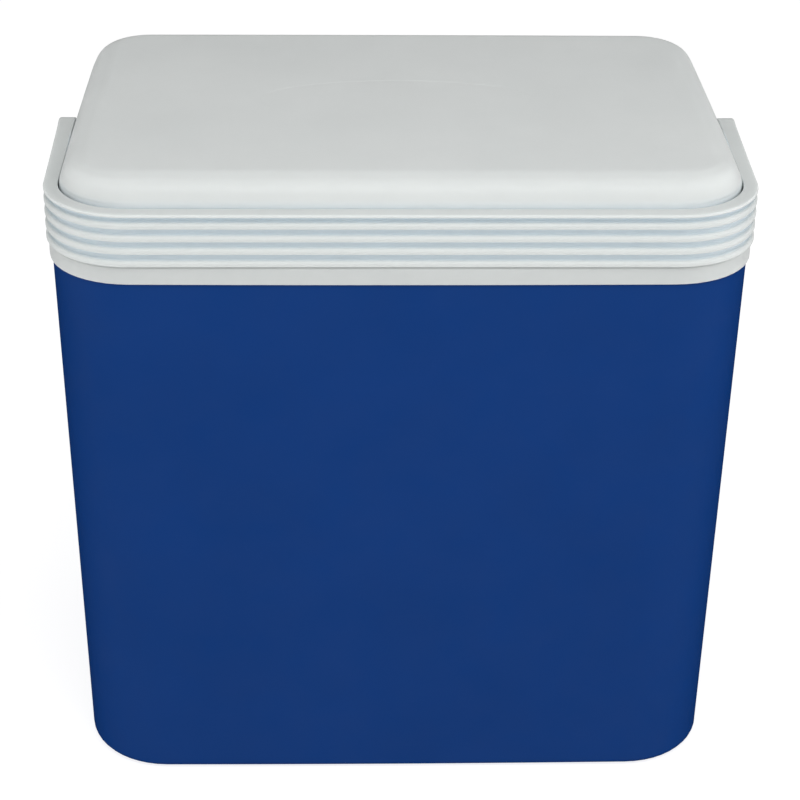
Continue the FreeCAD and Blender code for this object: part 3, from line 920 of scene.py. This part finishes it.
def inner_corners(corners, wall):
    """The corners of a profile's other face, `wall` further in. A corner is (in, up, radius)."""
    points = np.array([corner[:2] for corner in corners])
    runs = points[1:] - points[:-1]
    runs /= np.linalg.norm(runs, axis=1)[:, None]
    inward = np.column_stack([-runs[:, 1], runs[:, 0]])
    made = [(*(points[0] + inward[0] * wall), 0)]
    for index in range(1, len(corners) - 1):
        before, after = inward[index - 1], inward[index]
        step = (before + after) / (1 + before @ after) * wall
        made.append((*(points[index] + step), corners[index][2] - wall))
    made.append((*(points[-1] + inward[-1] * wall), 0))
    return made


def top_rings(plan, height):
    """Rings across the lid's top: flat, then the oval dish, then the gate mark. The dish is deepest
    along its rear edge and fades out to the front."""

    def sunk(outline, share):
        points = ring(outline, height)
        rearward = (points[:, 1] - DISH_CENTRE[1]) / DISH[1]
        points[:, 2] -= DISH_DEPTH * share * np.clip(rearward * 0.5 + 0.5, 0, 1)
        return points

    rim = plan.points()
    edge = oval(*DISH, DISH_CENTRE)
    rings = []
    for share in (0.04, 0.15, 0.35, 0.6, 0.8, 0.93, 0.985, 1.0):
        rings.append(ring(rim * (1 - share) + edge * share, height))
    for inset, share in ((0.3, 0.15), (0.6, 0.5), (0.9, 0.85), (1.2, 1.0), (1.7, 1.0)):
        rings.append(sunk(oval(DISH[0] - inset, DISH[1] - inset, DISH_CENTRE), share))
    for share in (0.93, 0.84, 0.7, 0.5, 0.3, 0.15, 0.06):
        centre = DISH_CENTRE * share + GATE * (1 - share)
        rings.append(sunk(oval(DISH[0] * share, DISH[1] * share, centre), 1.0))
    for radius, lift in ((1.6, 0.0), (1.0, 0.0), (0.85, 0.7 * GATE_LIFT), (0.4, GATE_LIFT)):
        mark = sunk(oval(radius, radius, GATE), 1.0)
        mark[:, 2] += lift
        rings.append(mark)
    return rings


def make_lid():
    """The lid's cover: a thin shell, open below, with the dish and the gate mark in its top."""
    wall = LID_WALL
    top, bottom = LID_HIGH[2], LID_LOW[2]
    shoulder = [
        (TOP_START, top, 0),
        (SHOULDER_IN, top, 20.0),
        (BREAK_IN, top - BREAK_DOWN, 16.0),
        (0, top - SHOULDER_DOWN, 12.0),
    ]
    skirt_end = (0, bottom, 0)
    under = inner_corners(shoulder + [skirt_end], wall)[:-1]
    outside = rounded(shoulder + [(0, bottom, 0.5), (wall / 2, bottom, 0)], steps=8)
    inside = rounded([(wall / 2, bottom, 0), (wall, bottom, 0.5)] + under[::-1], steps=8)
    inner_top = top - wall
    inner_plan = lid_plan(TOP_START, inner_top, wall)
    middle = plate_rings(inner_plan, inner_top, INSIDE_CORE, steps=5)
    rings = top_rings(lid_plan(TOP_START, top), top)[::-1]
    rings += rings_of(outside, lid_plan)
    rings += [ring(lid_plan(inset, height, wall), height) for inset, height in inside]
    rings += middle
    gate = rings[0].mean(axis=0)
    lid = skin("lid_top_cover", rings, start_cap=gate, end_cap=(0, 0, inner_top))
    mark_painted_shade_of_lid(lid)
    return finish_piece(lid, "lid_cover", "lid", WHITE, sharp=50)


def mark_painted_shade_of_lid(lid):
    """Painted shade: the narrow band of the lid's front that stands close to the handle's flange,
    where the material paints a cool bluish shade tint.
    """
    places = points_of(lid.data)
    peak, fade_up, fade_down = BAIL_HIGH - 1.0, 5.0, 4.0
    below_top = np.clip((peak - places[:, 2]) / fade_up + 1, 0, 1)
    above_rim = np.clip((places[:, 2] - peak) / fade_down + 1, 0, 1)
    forward = np.clip((EYE - places[:, 1]) / (2 * EYE), 0, 1)
    store_marks(lid.data, "recess", below_top * above_rim * forward)


# The plug under the lid clears the cavity's mouth by this much at its seat, and tapers downwards.
PLUG_CLEARANCE = 2.0
PLUG_TAPER = 1.2
PANEL_WALL = 2
PANEL_FLAT = 70


def panel_plan(outset, height):
    """The plug's side at a height; an outset leads to the plate's rim."""
    low, high = PANEL_LOW[2], LID_LOW[2]
    share = (height - low) / (high - low)
    plug = MOUTH.pulled_in(PLUG_CLEARANCE + PLUG_TAPER * (1 - share))
    if outset <= 0:
        return plug.pulled_in(-outset)
    plate = Plan(PANEL_HIGH[0], PANEL_HIGH[1], 39.1, LID_BOW)
    return mix_plans(plug, plate, outset / (plate.half_x - plug.half_x))


def make_lid_panel():
    """The lid's inner pan: a hollow plug with a shallow groove round its underside, and a rim."""
    low, seat, high = PANEL_LOW[2], LID_LOW[2], PANEL_HIGH[2]
    rim = PANEL_HIGH[0] - (MOUTH.half_x - PLUG_CLEARANCE)
    profile = rounded(
        [
            (-PANEL_FLAT, low, 0),
            (-14, low, 0.6),
            (-13, low + 0.8, 0.6),
            (-12, low, 0.6),
            (0, low, 4.0),
            (0, seat, 0.8),
            (rim, seat, 0.5),
            (rim, high, 0.5),
            (-PANEL_WALL, high, 0.5),
            (-PANEL_WALL, low + PANEL_WALL, 2.5),
            (-PANEL_FLAT, low + PANEL_WALL, 0),
        ],
        steps=6,
    )
    panel = closed_pan("lid_underside", profile, panel_plan)
    return finish_piece(panel, "lid_inner_panel", "lid", LINER_WHITE)


# ---------------------------------------------------------------- whole chest, studio, camera


def paint_foam():
    """The foam is hidden inside the walls, so the CAD's own meshes are kept and only painted."""
    for node in ("body_insulation", "lid_insulation"):
        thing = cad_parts[node]
        thing.data.materials.clear()
        thing.data.materials.append(FOAM)


# The studio's sizes are in metres.
STUDIO_REACH = 14.0
BACKDROP_HEIGHT = 20.0
BACKDROP_GLOW = 1.0
FLOOR_GLOW = 0.80
FLOOR_DROP = 0.0004
SKY = 0.50


def make_backdrop():
    """A white wall round the floor. It is there for the camera only and takes no part in the light,
    so that a low view has no grey sky behind the chest."""
    round_plan = oval(STUDIO_REACH, STUDIO_REACH)
    rings = [ring(round_plan, height) for height in (-0.01, BACKDROP_HEIGHT)]
    wall = skin("studio_backdrop", rings)
    nodes = Nodes("studio_backdrop")
    nodes.put("Base Color", (0, 0, 0, 1))
    nodes.put("Specular IOR Level", 0.0)
    nodes.put("Emission Color", (1, 1, 1, 1))
    nodes.put("Emission Strength", BACKDROP_GLOW)
    nodes.material.cycles.emission_sampling = "NONE"
    wall.data.materials.append(nodes.material)
    wall.visible_diffuse = False
    wall.visible_glossy = False
    wall.visible_transmission = False
    wall.visible_shadow = False


def make_floor():
    """A plain pale floor, far larger than the view."""
    bpy.ops.mesh.primitive_plane_add(size=2 * STUDIO_REACH, location=(0, 0, -FLOOR_DROP))
    floor = bpy.context.object
    floor.name = "studio_floor"
    nodes = Nodes("studio_floor")
    tone = nodes.mix(nodes.noise(400.0, 2.0), (0.34, 0.34, 0.34), (0.36, 0.36, 0.36))
    nodes.link(tone, nodes.shader.inputs["Base Color"])
    nodes.put("Roughness", 0.9)
    nodes.put("Specular IOR Level", 0.1)
    nodes.put("Emission Color", (1, 1, 1, 1))
    nodes.put("Emission Strength", FLOOR_GLOW)
    floor.data.materials.append(nodes.material)
    # The plain white surroundings light the chest but don't mirror in its glossy edges.
    floor.visible_glossy = False


def make_softbox(name, place, aim, width, height, power):
    light = bpy.data.lights.new(name, "AREA")
    light.shape = "RECTANGLE"
    light.size = width
    light.size_y = height
    light.energy = power
    thing = bpy.data.objects.new(name, light)
    thing.location = place
    thing.rotation_mode = "QUATERNION"
    thing.rotation_quaternion = (Vector(aim) - Vector(place)).to_track_quat("-Z", "Y")
    bpy.context.scene.collection.objects.link(thing)


def make_studio():
    make_floor()
    make_backdrop()
    middle = (0.0, 0.0, 0.25)
    make_softbox("key_softbox", (0.1, -0.9, 1.35), middle, 1.2, 0.8, 11.5)
    make_softbox("left_softbox", (-2.1, -0.5, 0.45), middle, 1.2, 1.2, 9.0)
    make_softbox("right_softbox", (2.1, -0.5, 0.9), middle, 1.2, 1.2, 12.0)
    world = bpy.data.worlds.new("studio_sky")
    world.use_nodes = True
    background = world.node_tree.nodes["Background"]
    background.inputs["Color"].default_value = (1.0, 1.0, 1.0, 1.0)
    background.inputs["Strength"].default_value = SKY
    world.cycles_visibility.glossy = False
    bpy.context.scene.world = world
    bpy.context.scene.view_settings.view_transform = "Standard"


# The photograph's view: where it looks, from how far and from where, and how it is turned.
CAMERA_TARGET = Vector((0.00311, 0.0, 0.18226))
CAMERA_DISTANCE = 1.33933
CAMERA_AZIMUTH = math.radians(-1.70)
CAMERA_ELEVATION = math.radians(27.79)
CAMERA_ROLL = math.radians(0.69)
CAMERA_LENS = 97.34


def make_camera():
    level = math.cos(CAMERA_ELEVATION)
    back = Vector(
        (
            math.sin(CAMERA_AZIMUTH) * level,
            -math.cos(CAMERA_AZIMUTH) * level,
            math.sin(CAMERA_ELEVATION),
        )
    )
    camera = bpy.data.cameras.new("photo_camera")
    camera.sensor_width = 36.0
    camera.lens = CAMERA_LENS
    thing = bpy.data.objects.new("photo_camera", camera)
    thing.location = CAMERA_TARGET + back * CAMERA_DISTANCE
    thing.rotation_mode = "QUATERNION"
    level_view = (-back).to_track_quat("-Z", "Y")
    thing.rotation_quaternion = level_view @ Quaternion((0, 0, 1), CAMERA_ROLL)
    bpy.context.scene.collection.objects.link(thing)
    bpy.context.scene.camera = thing


make_camera()
make_studio()
make_tub()
make_base_plug()
make_collar()
make_liner()
make_pin("pin_right", "right_pivot_pin", 1)
make_pin("pin_left", "left_pivot_pin", -1)
make_handle()
make_lid()
make_lid_panel()
paint_foam()
